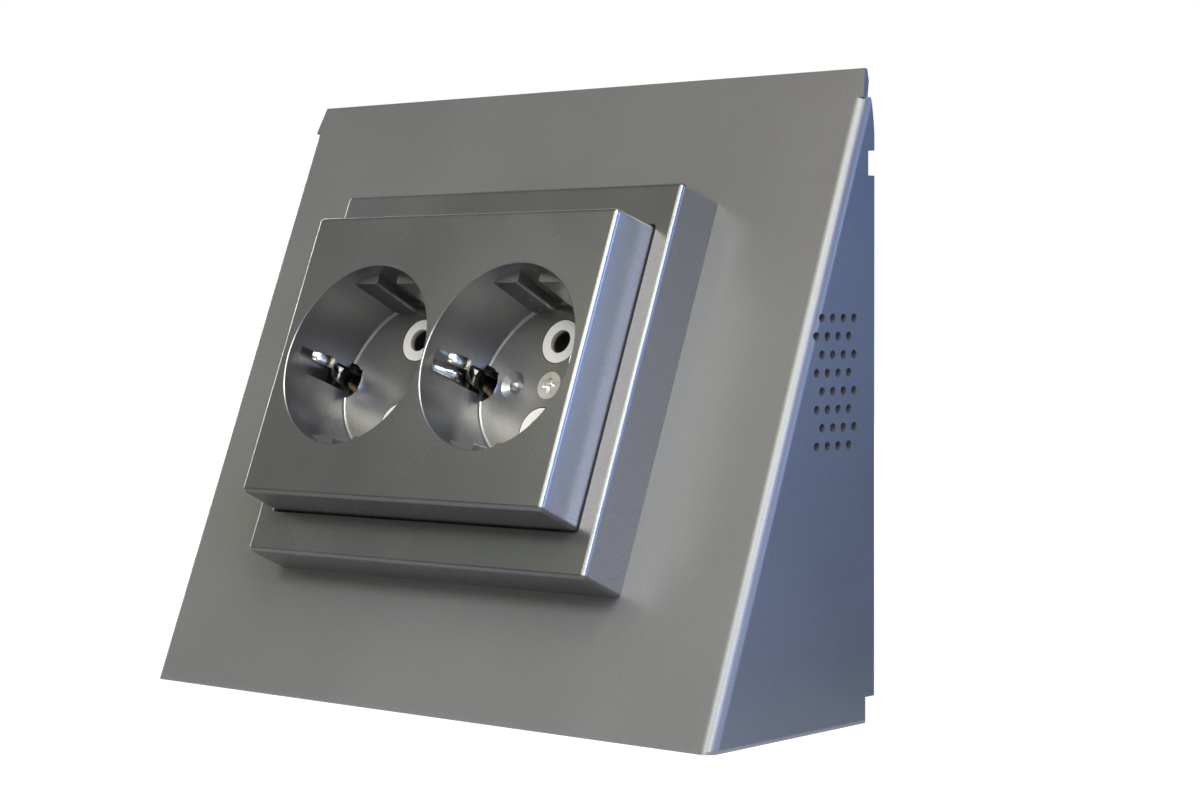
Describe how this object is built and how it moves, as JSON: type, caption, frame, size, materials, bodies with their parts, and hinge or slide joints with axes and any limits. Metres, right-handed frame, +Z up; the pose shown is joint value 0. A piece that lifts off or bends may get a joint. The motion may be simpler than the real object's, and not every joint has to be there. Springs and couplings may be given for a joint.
{
  "type": "corner power strip",
  "caption": "Wedge-shaped sheet-metal housing with a slanted front that carries a double earthed socket in a raised frame.",
  "frame": {"origin": "middle of the four wall-fixing holes, on the wall plane at the back of the bracket", "axes": "+X to the right along the front, +Y into the wall, +Z up; the slanted front faces -Y and up"},
  "size_m": [0.1558, 0.0579, 0.128],
  "materials": {
    "hood_lacquer": "satin silver-grey lacquer",
    "zinc_steel": "zinc-plated sheet",
    "screw_steel": "zinc-plated",
    "bright_screw": "bright plated",
    "black_rubber": "matt",
    "lead_sheath": "green with a yellow stripe",
    "tinned_copper": "tinned",
    "frame_plastic": "satin silver-grey lacquer",
    "cover_plastic": "satin silver-grey lacquer",
    "brass_bush": "turned",
    "cream_plastic": "matt",
    "contact_bronze": "stamped",
    "nickel_spring": "nickel-plated",
    "spring_steel": "stamped",
    "button_plastic": "smooth"
  },
  "bodies": {
    "fixed_parts": {"hood": "hood_lacquer", "wall_bracket": "zinc_steel", "cable_grommet": "black_rubber", "hanger_hooks": "zinc_steel", "fixing_angles": "zinc_steel", "hood_screws": "screw_steel", "earth_stud": "screw_steel", "stud_washer": "screw_steel", "stud_nut": "screw_steel", "bonding_lead": "lead_sheath", "ring_lug": "tinned_copper", "tab_receptacle": "tinned_copper", "cover_frame": "frame_plastic", "socket_cover": "cover_plastic", "cover_screw": "bright_screw", "threaded_bush": "brass_bush", "support_plate": "zinc_steel", "support_screws": "screw_steel", "base_rivets": "screw_steel", "socket_base": "cream_plastic", "rear_plate": "cream_plastic", "terminal_block": "cream_plastic", "line_rail": "contact_bronze", "neutral_rail": "contact_bronze", "earth_rail": "contact_bronze", "clamp_leg_line": "spring_steel", "clamp_leg_neutral": "spring_steel", "clamp_leg_earth": "spring_steel"},
    "earth_clip_left_left": {"earth_clip_left_left": "nickel_spring"},
    "earth_clip_left_right": {"earth_clip_left_right": "nickel_spring"},
    "neutral_leaf_left_lower": {"neutral_leaf_left_lower": "contact_bronze"},
    "neutral_leaf_left_upper": {"neutral_leaf_left_upper": "contact_bronze"},
    "line_leaf_left_lower": {"line_leaf_left_lower": "contact_bronze"},
    "line_leaf_left_upper": {"line_leaf_left_upper": "contact_bronze"},
    "earth_clip_right_left": {"earth_clip_right_left": "nickel_spring"},
    "earth_clip_right_right": {"earth_clip_right_right": "nickel_spring"},
    "neutral_leaf_right_lower": {"neutral_leaf_right_lower": "contact_bronze"},
    "neutral_leaf_right_upper": {"neutral_leaf_right_upper": "contact_bronze"},
    "line_leaf_right_lower": {"line_leaf_right_lower": "contact_bronze"},
    "line_leaf_right_upper": {"line_leaf_right_upper": "contact_bronze"},
    "release_button_neutral": {"release_button_neutral": "button_plastic"},
    "clamp_leaf_neutral": {"clamp_leaf_neutral": "spring_steel"},
    "release_button_earth": {"release_button_earth": "button_plastic"},
    "clamp_leaf_earth": {"clamp_leaf_earth": "spring_steel"},
    "release_button_line": {"release_button_line": "button_plastic"},
    "clamp_leaf_line": {"clamp_leaf_line": "spring_steel"}
  },
  "joints": [
    {"name": "earth_clip_left_left_flex", "type": "hinge", "parent": "fixed_parts", "child": "earth_clip_left_left", "pos_m": [-0.0382, -0.02745, 0.01295], "axis": [0, -0.373, -0.9278], "range_deg": [0, 6], "stiffness_Nm_per_rad": 0.8},
    {"name": "earth_clip_left_right_flex", "type": "hinge", "parent": "fixed_parts", "child": "earth_clip_left_right", "pos_m": [-0.0018, -0.02745, 0.01295], "axis": [0, 0.373, 0.9278], "range_deg": [0, 6], "stiffness_Nm_per_rad": 0.8},
    {"name": "neutral_leaf_left_lower_flex", "type": "hinge", "parent": "fixed_parts", "child": "neutral_leaf_left_lower", "pos_m": [-0.02, -0.01739, -0.00452], "axis": [1, 0, 0], "range_deg": [0, 1.8], "stiffness_Nm_per_rad": 5},
    {"name": "neutral_leaf_left_upper_flex", "type": "hinge", "parent": "fixed_parts", "child": "neutral_leaf_left_upper", "pos_m": [-0.02, -0.01519, 0.00096], "axis": [-1, 0, 0], "range_deg": [0, 1.8], "stiffness_Nm_per_rad": 5},
    {"name": "line_leaf_left_lower_flex", "type": "hinge", "parent": "fixed_parts", "child": "line_leaf_left_lower", "pos_m": [-0.02, -0.0103, 0.01311], "axis": [1, 0, 0], "range_deg": [0, 1.8], "stiffness_Nm_per_rad": 5},
    {"name": "line_leaf_left_upper_flex", "type": "hinge", "parent": "fixed_parts", "child": "line_leaf_left_upper", "pos_m": [-0.02, -0.0081, 0.01859], "axis": [-1, 0, 0], "range_deg": [0, 1.8], "stiffness_Nm_per_rad": 5},
    {"name": "earth_clip_right_left_flex", "type": "hinge", "parent": "fixed_parts", "child": "earth_clip_right_left", "pos_m": [0.0018, -0.02745, 0.01295], "axis": [0, -0.373, -0.9278], "range_deg": [0, 6], "stiffness_Nm_per_rad": 0.8},
    {"name": "earth_clip_right_right_flex", "type": "hinge", "parent": "fixed_parts", "child": "earth_clip_right_right", "pos_m": [0.0382, -0.02745, 0.01295], "axis": [0, 0.373, 0.9278], "range_deg": [0, 6], "stiffness_Nm_per_rad": 0.8},
    {"name": "neutral_leaf_right_lower_flex", "type": "hinge", "parent": "fixed_parts", "child": "neutral_leaf_right_lower", "pos_m": [0.02, -0.01739, -0.00452], "axis": [1, 0, 0], "range_deg": [0, 1.8], "stiffness_Nm_per_rad": 5},
    {"name": "neutral_leaf_right_upper_flex", "type": "hinge", "parent": "fixed_parts", "child": "neutral_leaf_right_upper", "pos_m": [0.02, -0.01519, 0.00096], "axis": [-1, 0, 0], "range_deg": [0, 1.8], "stiffness_Nm_per_rad": 5},
    {"name": "line_leaf_right_lower_flex", "type": "hinge", "parent": "fixed_parts", "child": "line_leaf_right_lower", "pos_m": [0.02, -0.0103, 0.01311], "axis": [1, 0, 0], "range_deg": [0, 1.8], "stiffness_Nm_per_rad": 5},
    {"name": "line_leaf_right_upper_flex", "type": "hinge", "parent": "fixed_parts", "child": "line_leaf_right_upper", "pos_m": [0.02, -0.0081, 0.01859], "axis": [-1, 0, 0], "range_deg": [0, 1.8], "stiffness_Nm_per_rad": 5},
    {"name": "release_button_neutral_press", "type": "slide", "parent": "fixed_parts", "child": "release_button_neutral", "axis": [0, 0.373, 0.9278], "range_m": [0, 0.0012], "stiffness_N_per_m": 4000},
    {"name": "clamp_leaf_neutral_flex", "type": "hinge", "parent": "fixed_parts", "child": "clamp_leaf_neutral", "pos_m": [-0.014, -0.01012, -0.00857], "axis": [-1, 0, 0], "range_deg": [0, 15]},
    {"name": "release_button_earth_press", "type": "slide", "parent": "fixed_parts", "child": "release_button_earth", "axis": [0, 0.373, 0.9278], "range_m": [0, 0.0012], "stiffness_N_per_m": 4000},
    {"name": "clamp_leaf_earth_flex", "type": "hinge", "parent": "fixed_parts", "child": "clamp_leaf_earth", "pos_m": [0, -0.01012, -0.00857], "axis": [-1, 0, 0], "range_deg": [0, 15]},
    {"name": "release_button_line_press", "type": "slide", "parent": "fixed_parts", "child": "release_button_line", "axis": [0, 0.373, 0.9278], "range_m": [0, 0.0012], "stiffness_N_per_m": 4000},
    {"name": "clamp_leaf_line_flex", "type": "hinge", "parent": "fixed_parts", "child": "clamp_leaf_line", "pos_m": [0.014, -0.01012, -0.00857], "axis": [-1, 0, 0], "range_deg": [0, 15]}
  ],
  "couplings": [
    {"joint": "clamp_leaf_neutral_flex", "follows": "release_button_neutral_press", "rad_per_m": 216},
    {"joint": "clamp_leaf_earth_flex", "follows": "release_button_earth_press", "rad_per_m": 216},
    {"joint": "clamp_leaf_line_flex", "follows": "release_button_line_press", "rad_per_m": 216}
  ]
}
